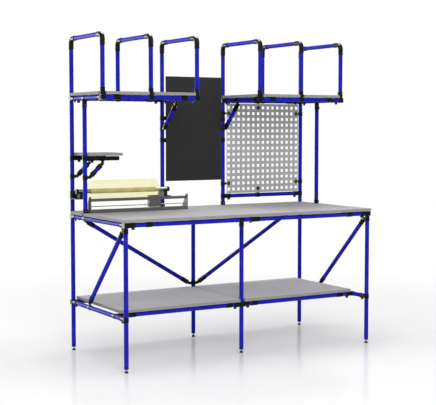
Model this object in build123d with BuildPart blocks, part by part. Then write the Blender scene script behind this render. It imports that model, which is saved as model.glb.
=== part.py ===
"""Packing table of clamp-jointed steel tube, with shelves, dividers, a film roll and a bench cutter.

The origin is on the floor in the middle of the table. X runs along the table to the right, Y to the
back and Z up. All lengths are in millimetres.
"""
from build123d import *
import os

# Overall layout, from leg axis to leg axis, and the heights of the faces that things stand on.
# The side shelf and the upper shelves are measured from the worktop, and the top bars from the shelves.
frame_length = 1800.0
frame_depth = 790.0
lower_shelf_height = 352.0
worktop_height = 914.0
side_shelf_rise = 380.0
upper_shelf_rise = 764.0
top_bar_rise = 348.0
bay_width = 660.0
upper_shelf_depth = 480.0
side_upright_inset = 205.0
lower_rail_setback = 155.0

# Steel tube
tube_diameter = 28.0
tube_wall = 1.6

# Clamp joints round the tubes
clamp_clearance = 0.3
clamp_wall = 2.0
sleeve_wall = 1.6
clamp_ring_length = 30.0
cross_ring_length = 66.0
clamp_reach = 58.0
clamp_lug_length = 20.0
clamp_lug_reach = 11.0
clamp_lug_thickness = 5.0
bolt_diameter = 5.0
bolt_head_width = 8.0
bolt_head_height = 3.0
nut_height = 4.0
bolt_overhang = 1.5
bolt_clearance = 0.3

# Rounded elbows at the top of the dividers
elbow_bend = 32.0
elbow_reach = 67.0

# Slanted braces and their swivel clamps
pivot_reach = 32.0
pivot_diameter = 8.0
pivot_head_width = 13.0
pivot_head_height = 4.0
brace_lug_thickness = 8.0
brace_lug_radius = 9.0
brace_cheek_thickness = 4.0
brace_cup_start = 18.0
brace_cup_floor = 4.0
brace_sleeve_reach = 70.0
short_sleeve_reach = 50.0
brace_sleeve_share = 0.38
side_brace_gap = 5.5
side_brace_foot = 524.0
back_brace_gap = 15.0
back_brace_rise = 60.5
bracket_drop = 193.5
bracket_reach = 196.0
strut_drop = 119.5
strut_reach = 121.0

# Boards that lie on the rails
worktop_thickness = 18.0
shelf_thickness = 18.0
worktop_overhang = 19.0
shelf_overhang = 19.0
lower_shelf_inset = 30.0
seat_gap = 0.2
notch_clearance = 2.0
seam_gap = 6.0
side_shelf_length = 242.0
side_shelf_start = 17.0
side_arm_length = 232.0

# Clips that hold the boards to the rails, and their screws
clip_length = 42.0
narrow_clip_length = 31.0
clip_tab_reach = 22.0
clip_tab_thickness = 2.0
screw_diameter = 4.0
screw_head_diameter = 8.0
screw_head_height = 2.0
screw_depth = 10.0
screw_clearance = 0.2
worktop_clip_gap = 74.0
lower_clip_gap = 37.0
lower_middle_clip_gap = 17.0
upper_clip_gap = 16.0
narrow_clip_share = 0.445

# Dark board between the inner posts
board_lift = 178.0
board_height = 711.0
board_thickness = 3.0
board_gap = 2.0
board_clip_drop = 79.0
board_clip_share = 0.65
board_clip_length = 29.0
ear_thickness = 3.0
ear_overlap = 22.0
washer_diameter = 14.0
washer_thickness = 1.5

# Perforated panel between the right inner post and the right back post
panel_thickness = 2.0
panel_edge_gap = 1.95
panel_side_gap = 10.2
panel_bolt_gap = 0.5
panel_rail_lift = 62.0
hole_size = 20.0
hole_pitch = 41.0
hole_margin = 4.0
panel_clip_length = 28.0
panel_ear_width = 14.0
panel_washer_diameter = 27.0

# Plugs in open tube ends
cap_flange = 3.0
cap_depth = 14.0
cap_clearance = 0.2

# Levelling feet
leg_bottom = 26.0
foot_diameter = 25.0
foot_height = 5.0
foot_chamfer = 2.0
foot_hub_diameter = 17.0
foot_hub_height = 11.0
stud_diameter = 10.0
stud_reach = 50.0
insert_depth = 34.0
thread_clearance = 0.1

# Film roll on its bar
roll_diameter = 142.0
roll_start = 97.0
roll_end_gap = 98.0
roll_lift = 59.0
roll_setforward = 75.0
core_wall = 1.6
core_clearance = 0.3
core_overhang = 4.0
shaft_inset = 8.0
shaft_cap_diameter = 33.0
shaft_cap_length = 16.0
cradle_inset = 24.0
cradle_wall = 5.0
cradle_width = 24.0
cradle_clearance = 0.3
cradle_drop = 50.0
cradle_rise = 3.0
cradle_floor_thickness = 6.0

# Bench cutter on the worktop
cutter_gap = 1.7
cutter_length = 704.0
cutter_roll_gap = 21.0
plate_thickness = 6.0
plate_depth = 78.0
plate_top_depth = 20.0
plate_height = 103.0
base_depth = 30.0
base_height = 22.0
base_setback = 2.0
guide_depth = 12.0
guide_height = 18.0
guide_setback = 6.0
guide_centre = 82.0
hold_rod_diameter = 6.0
hold_rod_height = 39.0
hold_rod_setback = 48.0
carriage_length = 86.0
carriage_depth = 28.0
carriage_bottom = 26.0
carriage_top = 102.0
carriage_start = 417.0
carriage_corner = 5.0
slide_clearance = 0.3
blade_diameter = 26.0
blade_thickness = 1.0
blade_height = 36.5
blade_pocket_clearance = 1.0
blade_pin_diameter = 4.0
blade_pin_clearance = 0.05
blade_bore_clearance = 0.08

# Values worked out from the sizes above
tube_radius = tube_diameter / 2
clamp_bore_radius = tube_radius + clamp_clearance
clamp_radius = clamp_bore_radius + clamp_wall
sleeve_radius = clamp_bore_radius + sleeve_wall
butt_start = clamp_radius + clamp_clearance
ring_half = clamp_ring_length / 2
rail_drop = clamp_radius + seat_gap
x_left = -frame_length / 2
x_right = frame_length / 2
x_inner_left = x_left + bay_width
x_inner_right = x_right - bay_width
x_divider_left = x_left + bay_width / 2
x_divider_right = x_right - bay_width / 2
y_front = -frame_depth / 2
y_back = frame_depth / 2
y_side = y_back - side_upright_inset
y_upper = y_back - upper_shelf_depth
y_lower = y_front + lower_rail_setback
side_shelf_height = worktop_height + side_shelf_rise
upper_shelf_height = worktop_height + upper_shelf_rise
top_bar_height = upper_shelf_height + top_bar_rise
z_lower = lower_shelf_height - shelf_thickness - rail_drop
z_work = worktop_height - worktop_thickness - rail_drop
z_panel = worktop_height + panel_rail_lift
z_side = side_shelf_height - shelf_thickness - rail_drop
z_upper = upper_shelf_height - shelf_thickness - rail_drop
z_bend = top_bar_height - elbow_bend - clamp_clearance
side_brace_drop = clamp_ring_length + side_brace_gap
back_brace_inset = clamp_reach + back_brace_gap + ring_half

along_x = Vector(1, 0, 0)
along_y = Vector(0, 1, 0)
along_z = Vector(0, 0, 1)


def rod(start, end, radius, mode=Mode.ADD):
    """Add or cut a round bar between two points."""
    run = Vector(*end) - Vector(*start)
    with BuildSketch(Plane(origin=start, z_dir=run)) as section:
        Circle(radius)
    extrude(section.sketch, amount=run.length, mode=mode)


def tube(start, end):
    """Add a frame tube between two points."""
    run = Vector(*end) - Vector(*start)
    with BuildSketch(Plane(origin=start, z_dir=run)) as section:
        Circle(tube_radius)
        Circle(tube_radius - tube_wall, mode=Mode.SUBTRACT)
    extrude(section.sketch, amount=run.length)


def block(corner, size, mode=Mode.ADD):
    """Add or cut a box from its lowest corner."""
    with BuildSketch(Plane(origin=corner)) as section:
        Rectangle(size[0], size[1], align=(Align.MIN, Align.MIN))
    extrude(section.sketch, amount=size[2], mode=mode)


def finish(builder, name):
    """Label a finished piece and write it."""
    builder.part.label = name
    export_step(builder.part, f"parts/{name}.step")


def lug_way(centre, arm):
    """Direction of the clamp lug on a sleeve: down if it is level, to the table's middle if upright."""
    if abs(arm.Z) < abs(arm.X) + abs(arm.Y):
        return -along_z
    if centre.Y > 0:
        return -along_y
    return along_y


def clamp_joint(centre, through, arms, ring_length=clamp_ring_length):
    """A clamp joint: a ring round the through tube and a lugged sleeve for each tube that butts on it.

    Where more than one tube butts, the ring has a square outside.
    """
    ring_start = centre - through * ring_length / 2
    with BuildPart() as joint:
        if len(arms) == 1:
            rod(ring_start, ring_start + through * ring_length, clamp_radius)
        else:
            with BuildSketch(Plane(origin=ring_start, x_dir=arms[0], z_dir=through)) as hub:
                Rectangle(2 * clamp_radius, 2 * clamp_radius)
            extrude(hub.sketch, amount=ring_length)
        for arm in arms:
            sleeve_start = centre if len(arms) == 1 else centre + arm * clamp_bore_radius
            rod(sleeve_start, centre + arm * clamp_reach, sleeve_radius)
            lug_start = centre + arm * (clamp_reach - clamp_lug_length)
            with BuildSketch(Plane(origin=lug_start, x_dir=lug_way(centre, arm), z_dir=arm)) as lug:
                Rectangle(
                    clamp_radius + clamp_lug_reach, clamp_lug_thickness, align=(Align.MIN, Align.CENTER)
                )
            extrude(lug.sketch, amount=clamp_lug_length)
        bore_half = through * ring_length
        rod(centre - bore_half, centre + bore_half, clamp_bore_radius, Mode.SUBTRACT)
        for arm in arms:
            bore_start = centre + arm * butt_start
            rod(bore_start, centre + arm * 2 * clamp_reach, clamp_bore_radius, Mode.SUBTRACT)
            place, way = bolt_place(centre, arm)
            half = way * clamp_lug_thickness
            rod(place - half, place + half, bolt_diameter / 2 + bolt_clearance, Mode.SUBTRACT)
    return joint.part


def bolt_place(centre, arm):
    """Middle of the clamp bolt on a sleeve, and the direction that the bolt runs in."""
    side = lug_way(centre, arm)
    offset = clamp_radius + clamp_lug_reach / 2
    place = centre + arm * (clamp_reach - clamp_lug_length / 2) + side * offset
    way = arm.cross(side)
    return place, Vector(abs(way.X), abs(way.Y), abs(way.Z))


def hexagon(start, way, width, height, hole=0):
    """Add a hexagonal bolt head or nut that starts at a point."""
    with BuildSketch(Plane(origin=start, z_dir=way)) as section:
        RegularPolygon(width / 2, 6, major_radius=False)
        if hole:
            Circle(hole, mode=Mode.SUBTRACT)
    extrude(section.sketch, amount=height)


# Clamp joints: centre of the ring, direction of the through tube, directions of the sleeves
lower_joints = [
    (Vector(x_left, y_back, z_lower), along_z, (along_x, -along_y)),
    (Vector(x_right, y_back, z_lower), along_z, (-along_x, -along_y)),
    (Vector(x_left, y_front, z_lower), along_z, (along_y,)),
    (Vector(x_right, y_front, z_lower), along_z, (along_y,)),
    (Vector(x_left, y_lower, z_lower), along_y, (along_x,)),
    (Vector(x_right, y_lower, z_lower), along_y, (-along_x,)),
    (Vector(0, y_lower, z_lower), along_z, (-along_x, along_x, along_y)),
    (Vector(0, y_back, z_lower), along_z, (-along_x, along_x, -along_y)),
]
worktop_joints = [
    (Vector(x_left, y_front, z_work), along_z, (along_x, along_y)),
    (Vector(x_right, y_front, z_work), along_z, (-along_x, along_y)),
    (Vector(x_left, y_back, z_work), along_z, (along_x, -along_y)),
    (Vector(x_right, y_back, z_work), along_z, (-along_x, -along_y)),
    (Vector(0, y_back, z_work), along_x, (-along_y, -along_z)),
    (Vector(0, y_lower, z_work), along_y, (-along_z,)),
    (Vector(x_left, y_side, z_work), along_y, (along_z,)),
    (Vector(x_right, y_side, z_work), along_y, (along_z,)),
    (Vector(x_inner_left, y_back, z_work), along_x, (along_z,)),
    (Vector(x_inner_right, y_back, z_work), along_x, (along_z,)),
]
cross_joint = (Vector(0, y_front, z_work), along_x, (along_y,))
upper_joints = [
    (Vector(x_inner_right, y_back, z_panel), along_z, (along_x,)),
    (Vector(x_right, y_back, z_panel), along_z, (-along_x,)),
    (Vector(x_left, y_back, z_side), along_z, (along_x,)),
    (Vector(x_left, y_side, z_side), along_z, (along_x,)),
    (Vector(x_left, y_back, z_upper), along_z, (along_x, -along_y)),
    (Vector(x_inner_left, y_back, z_upper), along_z, (-along_x, -along_y)),
    (Vector(x_inner_right, y_back, z_upper), along_z, (along_x, -along_y)),
    (Vector(x_right, y_back, z_upper), along_z, (-along_x, -along_y)),
    (Vector(x_left, y_side, z_upper), along_y, (-along_z,)),
    (Vector(x_right, y_side, z_upper), along_y, (-along_z,)),
    (Vector(x_divider_left, y_back, z_upper), along_x, (along_z,)),
    (Vector(x_divider_right, y_back, z_upper), along_x, (along_z,)),
    (Vector(x_divider_left, y_upper, z_upper), along_x, (along_z,)),
    (Vector(x_divider_right, y_upper, z_upper), along_x, (along_z,)),
]
for corner_x in (x_left, x_inner_left, x_inner_right, x_right):
    upper_joints.append((Vector(corner_x, y_upper, z_upper), along_x, (along_y, along_z)))

# Braces: for each end the ring centre, the direction of the tube it grips and the way to its pivot
side_brace_ends = [
    (
        (Vector(x, y_front, z_work - side_brace_drop), along_z, along_y),
        (Vector(x, y_front + side_brace_foot, z_lower), along_y, along_z),
    )
    for x in (x_left, x_right)
]
back_brace_ends = [
    (
        (Vector(side * (x_right - back_brace_inset), y_back, z_work), along_x, -along_z),
        (Vector(0, y_back, z_lower + back_brace_rise), along_z, along_x * side),
    )
    for side in (-1, 1)
]
bracket_ends = [
    (
        (Vector(x, y_back, z_upper - bracket_drop), along_z, -along_y),
        (Vector(x, y_back - bracket_reach, z_upper), along_y, -along_z),
    )
    for x in (x_inner_left, x_inner_right)
]
strut_ends = [
    (
        (Vector(x_left, y, z_side - strut_drop), along_z, along_x),
        (Vector(x_left + strut_reach, y, z_side), along_x, -along_z),
    )
    for y in (y_side, y_back)
]
all_brace_ends = side_brace_ends + back_brace_ends + bracket_ends + strut_ends


def pivots(ends):
    """The two pivot points of a brace."""
    return [centre + way * pivot_reach for centre, grip, way in ends]


def brace_tube(ends):
    """Add the tube of a brace between its two cups."""
    first, last = pivots(ends)
    run = (last - first).normalized() * (brace_cup_start + brace_cup_floor + clamp_clearance)
    tube(first + run, last - run)


os.makedirs("parts", exist_ok=True)

# Legs and posts
with BuildPart() as front_legs:
    for x in (x_left, x_right):
        tube((x, y_front, leg_bottom), (x, y_front, z_work + ring_half))
finish(front_legs, "front_legs")

with BuildPart() as middle_legs:
    for y in (y_lower, y_back):
        tube((0, y, leg_bottom), (0, y, z_work - butt_start))
finish(middle_legs, "middle_legs")

with BuildPart() as back_posts:
    for x in (x_left, x_right):
        tube((x, y_back, leg_bottom), (x, y_back, z_bend))
finish(back_posts, "back_posts")

with BuildPart() as inner_posts:
    for x in (x_inner_left, x_inner_right):
        tube((x, y_back, z_work + butt_start), (x, y_back, z_bend))
finish(inner_posts, "inner_posts")

with BuildPart() as side_uprights:
    for x in (x_left, x_right):
        tube((x, y_side, z_work + butt_start), (x, y_side, z_upper - butt_start))
finish(side_uprights, "side_uprights")

# Worktop frame
with BuildPart() as worktop_long_rails:
    for y in (y_front, y_back):
        tube((x_left + butt_start, y, z_work), (x_right - butt_start, y, z_work))
finish(worktop_long_rails, "worktop_long_rails")

with BuildPart() as worktop_side_rails:
    for x in (x_left, x_right):
        tube((x, y_front + butt_start, z_work), (x, y_back - butt_start, z_work))
finish(worktop_side_rails, "worktop_side_rails")

# Lower frame
with BuildPart() as lower_long_rails:
    for y in (y_lower, y_back):
        tube((x_left + butt_start, y, z_lower), (-butt_start, y, z_lower))
        tube((butt_start, y, z_lower), (x_right - butt_start, y, z_lower))
finish(lower_long_rails, "lower_long_rails")

with BuildPart() as lower_side_rails:
    for x in (x_left, x_right):
        tube((x, y_front + butt_start, z_lower), (x, y_back - butt_start, z_lower))
finish(lower_side_rails, "lower_side_rails")

# Cross rails in the middle of the worktop frame and the lower frame
with BuildPart() as cross_rails:
    tube((0, y_front + butt_start, z_work), (0, y_back - butt_start, z_work))
    tube((0, y_lower + butt_start, z_lower), (0, y_back - butt_start, z_lower))
finish(cross_rails, "cross_rails")

# Upper shelf frames
with BuildPart() as upper_front_rails:
    for start, end in ((x_left, x_inner_left), (x_inner_right, x_right)):
        tube((start - ring_half, y_upper, z_upper), (end + ring_half, y_upper, z_upper))
finish(upper_front_rails, "upper_front_rails")

with BuildPart() as upper_back_rails:
    for start, end in ((x_left, x_inner_left), (x_inner_right, x_right)):
        tube((start + butt_start, y_back, z_upper), (end - butt_start, y_back, z_upper))
finish(upper_back_rails, "upper_back_rails")

with BuildPart() as upper_end_rails:
    for x in (x_left, x_inner_left, x_inner_right, x_right):
        tube((x, y_upper + butt_start, z_upper), (x, y_back - butt_start, z_upper))
finish(upper_end_rails, "upper_end_rails")

# Dividers on the upper shelves
divider_places = (x_left, x_divider_left, x_inner_left, x_inner_right, x_divider_right, x_right)

with BuildPart() as divider_uprights:
    for x in divider_places:
        tube((x, y_upper, z_upper + butt_start), (x, y_upper, z_bend))
    for x in (x_divider_left, x_divider_right):
        tube((x, y_back, z_upper + butt_start), (x, y_back, z_bend))
finish(divider_uprights, "divider_uprights")

with BuildPart() as divider_top_bars:
    for x in divider_places:
        bar_end = elbow_bend + clamp_clearance
        tube((x, y_upper + bar_end, top_bar_height), (x, y_back - bar_end, top_bar_height))
finish(divider_top_bars, "divider_top_bars")

with BuildPart() as divider_elbows:
    for x in divider_places:
        for y, inward in ((y_upper, along_y), (y_back, -along_y)):
            corner = Vector(x, y, top_bar_height)
            leg_end = corner - along_z * elbow_reach
            with BuildLine() as bend:
                FilletPolyline(leg_end, corner, corner + inward * elbow_reach, radius=elbow_bend)
            with BuildSketch(Plane(origin=leg_end, z_dir=along_z)) as bend_wall:
                Circle(clamp_radius)
                Circle(clamp_bore_radius, mode=Mode.SUBTRACT)
            sweep(bend_wall.sketch, path=bend.line)
finish(divider_elbows, "divider_elbows")

# Rail under the perforated panel
with BuildPart() as panel_rail:
    tube((x_inner_right + butt_start, y_back, z_panel), (x_right - butt_start, y_back, z_panel))
finish(panel_rail, "panel_rail")

# Arms of the side shelf
with BuildPart() as side_shelf_arms:
    for y in (y_side, y_back):
        tube((x_left + butt_start, y, z_side), (x_left + side_arm_length, y, z_side))
finish(side_shelf_arms, "side_shelf_arms")

# Slanted tubes: side braces, back braces, shelf brackets and side shelf struts
with BuildPart() as side_braces:
    for ends in side_brace_ends:
        brace_tube(ends)
finish(side_braces, "side_braces")

with BuildPart() as back_braces:
    for ends in back_brace_ends:
        brace_tube(ends)
finish(back_braces, "back_braces")

with BuildPart() as shelf_brackets:
    for ends in bracket_ends:
        brace_tube(ends)
finish(shelf_brackets, "shelf_brackets")

with BuildPart() as side_shelf_struts:
    for ends in strut_ends:
        brace_tube(ends)
finish(side_shelf_struts, "side_shelf_struts")

# Clamp joints, with their bolts and nuts
lower_clamp_pieces = [clamp_joint(*joint) for joint in lower_joints]
worktop_clamp_pieces = [clamp_joint(*joint) for joint in worktop_joints]
worktop_clamp_pieces.append(clamp_joint(*cross_joint, ring_length=cross_ring_length))
upper_clamp_pieces = [clamp_joint(*joint) for joint in upper_joints]

with BuildPart() as lower_clamps:
    add(lower_clamp_pieces)
finish(lower_clamps, "lower_clamps")

with BuildPart() as worktop_clamps:
    add(worktop_clamp_pieces)
finish(worktop_clamps, "worktop_clamps")

with BuildPart() as upper_clamps:
    add(upper_clamp_pieces)
finish(upper_clamps, "upper_clamps")

bolt_places = [
    bolt_place(centre, arm)
    for centre, through, arms in lower_joints + worktop_joints + [cross_joint] + upper_joints
    for arm in arms
]


def clamp_bolt(place, way):
    """A clamp bolt: its head on one side of the lug and its shank through the nut on the other."""
    head_seat = place - way * clamp_lug_thickness / 2
    shank_end = place + way * (clamp_lug_thickness / 2 + nut_height + bolt_overhang)
    with BuildPart() as bolt:
        hexagon(head_seat, -way, bolt_head_width, bolt_head_height)
        rod(head_seat, shank_end, bolt_diameter / 2)
    return bolt.part


def clamp_nut(place, way):
    """The nut of a clamp bolt."""
    nut_seat = place + way * clamp_lug_thickness / 2
    with BuildPart() as nut:
        hexagon(nut_seat, way, bolt_head_width, nut_height, bolt_diameter / 2 + bolt_clearance)
    return nut.part


bolt_pieces = [clamp_bolt(place, way) for place, way in bolt_places]
nut_pieces = [clamp_nut(place, way) for place, way in bolt_places]

with BuildPart() as clamp_bolts:
    add(bolt_pieces)
finish(clamp_bolts, "clamp_bolts")

with BuildPart() as clamp_nuts:
    add(nut_pieces)
finish(clamp_nuts, "clamp_nuts")


def brace_clamp(centre, grip, way):
    """A ring on the frame tube with a lug that carries the pivot."""
    pivot = centre + way * pivot_reach
    hinge_way = grip.cross(way)
    lug_face = pivot - hinge_way * brace_lug_thickness / 2
    with BuildPart() as clamp:
        rod(centre - grip * ring_half, centre + grip * ring_half, clamp_radius)
        with BuildSketch(Plane(origin=lug_face, x_dir=-way, z_dir=hinge_way)) as lug:
            Circle(brace_lug_radius)
            Rectangle(pivot_reach, 2 * brace_lug_radius, align=(Align.MIN, Align.CENTER))
            Circle(pivot_diameter / 2 + bolt_clearance, mode=Mode.SUBTRACT)
        extrude(lug.sketch, amount=brace_lug_thickness)
        rod(centre - grip * ring_half, centre + grip * ring_half, clamp_bore_radius, Mode.SUBTRACT)
    return clamp.part


def brace_sleeve(pivot, other, hinge_way, full_reach):
    """A cup on the end of a brace, with two cheeks that run past it to the pivot."""
    run = (other - pivot).normalized()
    reach = min(full_reach, (other - pivot).length * brace_sleeve_share)
    cup_floor = brace_cup_start + brace_cup_floor
    cheek_face = brace_lug_thickness / 2 + bolt_clearance
    with BuildPart() as sleeve:
        rod(pivot + run * brace_cup_start, pivot + run * reach, clamp_radius)
        rod(pivot + run * cup_floor, pivot + run * reach, clamp_bore_radius, Mode.SUBTRACT)
        for side in (-1, 1):
            face = pivot + hinge_way * side * cheek_face
            with BuildSketch(Plane(origin=face, x_dir=run, z_dir=hinge_way * side)) as cheek:
                Circle(brace_lug_radius)
                Rectangle(brace_cup_start, 2 * brace_lug_radius, align=(Align.MIN, Align.CENTER))
                Circle(pivot_diameter / 2 + bolt_clearance, mode=Mode.SUBTRACT)
            extrude(cheek.sketch, amount=brace_cheek_thickness)
    return sleeve.part


def brace_pivot(pivot, hinge_way):
    """The pivot bolt with its head and nut against the cheeks."""
    seat = brace_lug_thickness / 2 + bolt_clearance + brace_cheek_thickness
    with BuildPart() as pin:
        rod(pivot - hinge_way * seat, pivot + hinge_way * seat, pivot_diameter / 2)
        hexagon(pivot + hinge_way * seat, hinge_way, pivot_head_width, pivot_head_height)
        hexagon(pivot - hinge_way * seat, -hinge_way, pivot_head_width, pivot_head_height)
    return pin.part


# Swivel clamps at the ends of the braces
brace_clamp_pieces = []
brace_sleeve_pieces = []
brace_pivot_pieces = []
for ends in all_brace_ends:
    first, last = pivots(ends)
    hinge_way = ends[0][1].cross(ends[0][2])
    full_reach = short_sleeve_reach if ends in side_brace_ends + bracket_ends else brace_sleeve_reach
    for pivot, other in ((first, last), (last, first)):
        brace_sleeve_pieces.append(brace_sleeve(pivot, other, hinge_way, full_reach))
        brace_pivot_pieces.append(brace_pivot(pivot, hinge_way))
    brace_clamp_pieces += [brace_clamp(*end) for end in ends]

with BuildPart() as brace_clamps:
    add(brace_clamp_pieces)
finish(brace_clamps, "brace_clamps")

with BuildPart() as brace_sleeves:
    add(brace_sleeve_pieces)
finish(brace_sleeves, "brace_sleeves")

with BuildPart() as brace_pivots:
    add(brace_pivot_pieces)
finish(brace_pivots, "brace_pivots")

# Plugs in the open tube ends
with BuildPart() as tube_caps:
    open_ends = [(Vector(x_left + side_arm_length, y, z_side), along_x) for y in (y_side, y_back)]
    for x, way in ((x_left, -1), (x_inner_left, 1), (x_inner_right, -1), (x_right, 1)):
        open_ends.append((Vector(x + way * ring_half, y_upper, z_upper), along_x * way))
    for end, way in open_ends:
        rod(end, end + way * cap_flange, tube_radius)
        rod(end, end - way * cap_depth, tube_radius - tube_wall - cap_clearance)
finish(tube_caps, "tube_caps")

# Boards on the rails. A notch lets a post pass at the edge of a board.
notch_radius = clamp_radius + notch_clearance


def notch(x, y, way_x, way_y, overhang):
    """Cut a round-bottomed notch at a post, open towards the given edges."""
    with Locations((x, y)):
        Circle(notch_radius, mode=Mode.SUBTRACT)
    span_x = notch_radius + (overhang if way_x else 0) + notch_clearance
    span_y = notch_radius + (overhang if way_y else 0) + notch_clearance
    if way_x:
        with Locations((x + way_x * span_x / 2, y)):
            Rectangle(span_x, 2 * notch_radius, mode=Mode.SUBTRACT)
    if way_y:
        with Locations((x, y + way_y * span_y / 2)):
            Rectangle(2 * notch_radius, span_y, mode=Mode.SUBTRACT)
    if way_x and way_y:
        with Locations((x + way_x * span_x / 2, y + way_y * span_y / 2)):
            Rectangle(span_x, span_y, mode=Mode.SUBTRACT)


def clip_places(y_start, x_places):
    """Centres of the clips on a front rail and on the back rail, and the way their tabs point."""
    return [(x, y, way) for y, way in ((y_start, 1), (y_back, -1)) for x in x_places]


clip_start = clamp_reach + clip_length / 2
worktop_clip_x = x_right - clip_start - worktop_clip_gap
lower_clip_x = x_right - clip_start - lower_clip_gap
lower_middle_clip_x = clip_start + lower_middle_clip_gap
upper_clip_inset = clip_start + upper_clip_gap
lower_clip_row = (-lower_clip_x, -lower_middle_clip_x, lower_middle_clip_x, lower_clip_x)
upper_clip_row = [
    place
    for start, end in ((x_left, x_inner_left), (x_inner_right, x_right))
    for place in (start + upper_clip_inset, end - upper_clip_inset)
]
worktop_clips = clip_places(y_front, (-worktop_clip_x, worktop_clip_x))
lower_clips = clip_places(y_lower, lower_clip_row)
upper_clips = clip_places(y_upper, upper_clip_row)
screw_offset = clamp_radius + clip_tab_reach / 2
pilot_radius = screw_diameter / 2 + screw_clearance


def pilot_holes(clips, underside):
    """Drill the screw holes of the clips under a board."""
    for x, y, way in clips:
        hole = Vector(x, y + way * screw_offset, underside)
        rod(hole, hole + along_z * (screw_depth + seat_gap), pilot_radius, Mode.SUBTRACT)


with BuildPart() as worktop:
    with BuildSketch(Plane.XY.offset(worktop_height - worktop_thickness)):
        Rectangle(frame_length + 2 * worktop_overhang, frame_depth + 2 * worktop_overhang)
        for x, way in ((x_left, -1), (x_right, 1)):
            notch(x, y_back, way, 1, worktop_overhang)
            notch(x, y_side, way, 0, worktop_overhang)
        for x in (x_inner_left, x_inner_right):
            notch(x, y_back, 0, 1, worktop_overhang)
    extrude(amount=worktop_thickness)
    pilot_holes(worktop_clips, worktop_height - worktop_thickness)
finish(worktop, "worktop")

with BuildPart() as lower_shelves:
    underside = lower_shelf_height - shelf_thickness
    for side in (-1, 1):
        with BuildSketch(Plane.XY.offset(underside)):
            inner_edge = seam_gap / 2
            width = frame_length / 2 - lower_shelf_inset - inner_edge
            depth = y_back - y_lower + 2 * shelf_overhang
            with Locations((side * (inner_edge + width / 2), (y_lower + y_back) / 2)):
                Rectangle(width, depth)
            for y, way in ((y_lower, -1), (y_back, 1)):
                notch(0, y, 0, way, shelf_overhang)
        extrude(amount=shelf_thickness)
    pilot_holes(lower_clips, underside)
finish(lower_shelves, "lower_shelves")

with BuildPart() as upper_shelves:
    underside = upper_shelf_height - shelf_thickness
    for start, end in ((x_left, x_inner_left), (x_inner_right, x_right)):
        middle = (start + end) / 2
        with BuildSketch(Plane.XY.offset(underside)):
            with Locations((middle, (y_upper + y_back) / 2)):
                Rectangle(bay_width + 2 * shelf_overhang, upper_shelf_depth + 2 * shelf_overhang)
            for y, way in ((y_upper, -1), (y_back, 1)):
                notch(start, y, -1, way, shelf_overhang)
                notch(middle, y, 0, way, shelf_overhang)
                notch(end, y, 1, way, shelf_overhang)
        extrude(amount=shelf_thickness)
    pilot_holes(upper_clips, underside)
finish(upper_shelves, "upper_shelves")

with BuildPart() as side_shelf:
    side_shelf_middle = x_left + side_shelf_start + side_shelf_length / 2
    with BuildSketch(Plane.XY.offset(side_shelf_height - shelf_thickness)):
        with Locations((side_shelf_middle, (y_side + y_back) / 2)):
            Rectangle(side_shelf_length, side_upright_inset + 2 * tube_radius)
        for y in (y_side, y_back):
            with Locations((x_left, y)):
                Circle(notch_radius, mode=Mode.SUBTRACT)
    extrude(amount=shelf_thickness)
finish(side_shelf, "side_shelf")


def shelf_clip(x, y, z, way):
    """A clip: a ring round the rail and a tab under the board for a screw."""
    tab_top = z + clamp_radius
    tab_start = y if way > 0 else y - clamp_radius - clip_tab_reach
    tab_size = (clip_length, clamp_radius + clip_tab_reach, clip_tab_thickness)
    hole = Vector(x, y + way * screw_offset, tab_top)
    with BuildPart() as clip:
        rod((x - clip_length / 2, y, z), (x + clip_length / 2, y, z), clamp_radius)
        block((x - clip_length / 2, tab_start, tab_top - clip_tab_thickness), tab_size)
        rod((x - clip_length, y, z), (x + clip_length, y, z), clamp_bore_radius, Mode.SUBTRACT)
        rod(hole - along_z * clamp_radius, hole + along_z * clamp_radius, pilot_radius, Mode.SUBTRACT)
    return clip.part


def wood_screw(x, y, z, way):
    """The screw of a clip, from its head under the tab up into the board."""
    seat = Vector(x, y + way * screw_offset, z + clamp_radius - clip_tab_thickness)
    top = Vector(seat.X, seat.Y, z + rail_drop + screw_depth)
    with BuildPart() as screw:
        rod(seat - along_z * screw_head_height, seat, screw_head_diameter / 2)
        rod(seat, top, screw_diameter / 2)
    return screw.part


all_clips = [(x, y, z_work, way) for x, y, way in worktop_clips]
all_clips += [(x, y, z_lower, way) for x, y, way in lower_clips]
all_clips += [(x, y, z_upper, way) for x, y, way in upper_clips]

shelf_clip_pieces = [shelf_clip(*place) for place in all_clips]
screw_pieces = [wood_screw(*place) for place in all_clips]

with BuildPart() as shelf_clips:
    narrow_x = x_left + narrow_clip_share * frame_length
    narrow_start = Vector(narrow_x - narrow_clip_length / 2, y_front, z_work)
    narrow_end = narrow_start + along_x * narrow_clip_length
    rod(narrow_start, narrow_end, clamp_radius)
    rod(narrow_start, narrow_end, clamp_bore_radius, Mode.SUBTRACT)
    add(shelf_clip_pieces)
finish(shelf_clips, "shelf_clips")

# Dark board between the inner posts, level with their front,
# and held to them below and above the brackets of the upper shelves
board_front = y_back - tube_radius
board_bottom = worktop_height + board_lift
board_right = x_inner_right - shelf_overhang - board_gap
board_left = -board_right
z_bracket = z_upper - bracket_drop

# Grid of holes in the perforated panel
panel_bottom = z_panel + clamp_radius + panel_edge_gap
panel_height = z_upper - clamp_radius - panel_edge_gap - panel_bottom
panel_width = bay_width - 2 * (clamp_radius + panel_side_gap)
hole_columns = int((panel_width - hole_size - 2 * hole_margin) / hole_pitch) + 1
hole_rows = int((panel_height - hole_size - 2 * hole_margin) / hole_pitch) + 1
column_half_span = (hole_columns - 1) / 2 * hole_pitch
row_half_span = (hole_rows - 1) / 2 * hole_pitch
panel_back = y_back - clamp_lug_thickness / 2 - bolt_head_height - panel_bolt_gap
panel_front = panel_back - panel_thickness
panel_middle = Vector((x_inner_right + x_right) / 2, panel_front, panel_bottom + panel_height / 2)
clip_row_offset = row_half_span - hole_pitch
clip_column_offset = column_half_span - (hole_columns // 2 + 1) * hole_pitch

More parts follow.
